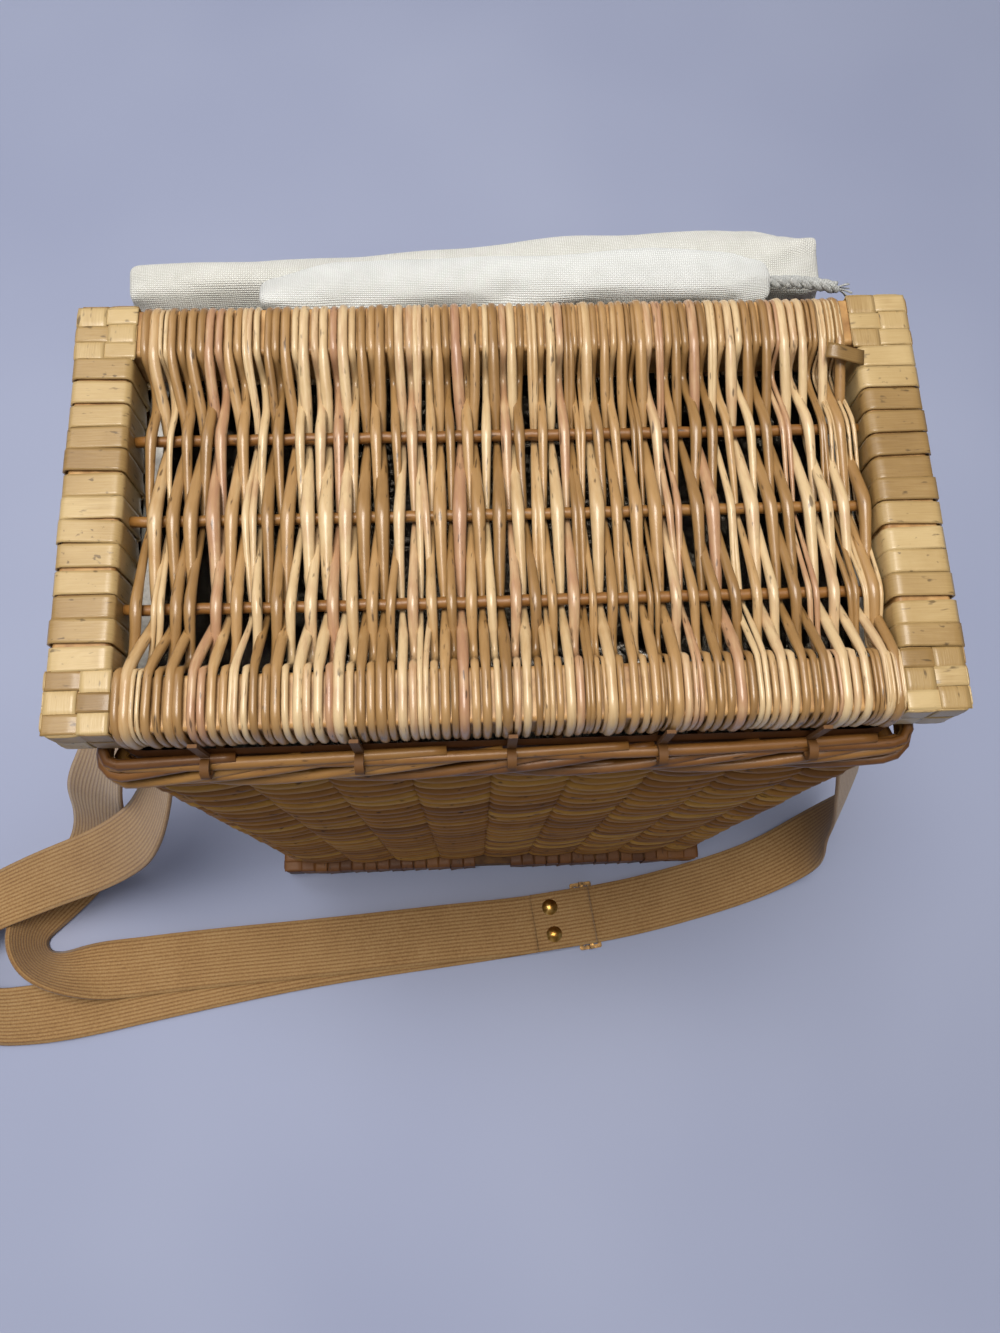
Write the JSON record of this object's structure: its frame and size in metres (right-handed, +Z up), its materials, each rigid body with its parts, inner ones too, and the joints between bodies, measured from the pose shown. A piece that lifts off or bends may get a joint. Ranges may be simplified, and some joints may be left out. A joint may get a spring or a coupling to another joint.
{
  "type": "picnic basket",
  "caption": "Tall rectangular wicker picnic basket with a hinged batten-framed lid, an insulated canvas liner and a webbing shoulder strap.",
  "frame": {"origin": "middle of the basket's underside, on the floor", "axes": "+X to the right as seen from the strap side, +Y from the strap side to the far side, +Z up"},
  "size_m": [0.6138, 0.3131, 0.411],
  "materials": {
    "batten": "sawn and varnished softwood",
    "skein": "varnished split willow",
    "willow": "varnished willow rods",
    "steel": "plain steel nails",
    "canvas": "off-white cotton canvas",
    "foam": "closed-cell foam",
    "foil": "metallised lining",
    "webbing": "tan ribbed cotton webbing",
    "brass": "aged brass"
  },
  "bodies": {
    "basket": {"base_batten_front": "batten", "base_batten_back": "batten", "base_batten_left": "batten", "base_batten_right": "batten", "base_slat": "batten", "base_skein_front": "skein", "base_skein_back": "skein", "base_skein_left": "skein", "base_skein_right": "skein", "base_plait_front_left": "skein", "base_plait_front_right": "skein", "base_plait_back_left": "skein", "base_plait_back_right": "skein", "body_weave": "willow", "wall_stakes": "willow", "corner_stakes": "willow", "border_rod_top": "willow", "border_rod_middle": "willow", "border_rod_bottom": "willow", "floor_panel": "willow", "base_frame_nails": "steel", "slat_nails": "steel", "liner_canvas": "canvas", "liner_skirt": "canvas", "skirt_fold_front": "canvas", "skirt_fold_back": "canvas", "skirt_hem": "canvas", "drawcord_end": "canvas", "liner_foam": "foam", "liner_foil": "foil", "strap_right": "webbing", "strap_under": "webbing", "strap_over": "webbing", "strap_fold_left": "webbing", "strap_fold_right": "webbing", "strap_fold_slider": "webbing", "strap_loop_left": "brass", "strap_loop_right": "brass", "strap_loop_rivets": "brass", "strap_slider": "brass", "strap_rivets": "brass"},
    "lid": {"lid_batten_front": "batten", "lid_batten_back": "batten", "lid_batten_left": "batten", "lid_batten_right": "batten", "lid_skein_left": "skein", "lid_skein_right": "skein", "lid_plait_front_left": "skein", "lid_plait_front_right": "skein", "lid_plait_back_left": "skein", "lid_plait_back_right": "skein", "lid_rods_over": "willow", "lid_rods_under": "willow", "lid_cross_rods": "willow", "lid_frame_nails": "steel", "hinge_loops": "skein"}
  },
  "joints": [
    {"name": "lid_hinge", "type": "hinge", "parent": "basket", "child": "lid", "pos_m": [0, -0.0824, 0.3842], "axis": [1, 0, 0], "range_deg": [0, 180]}
  ]
}
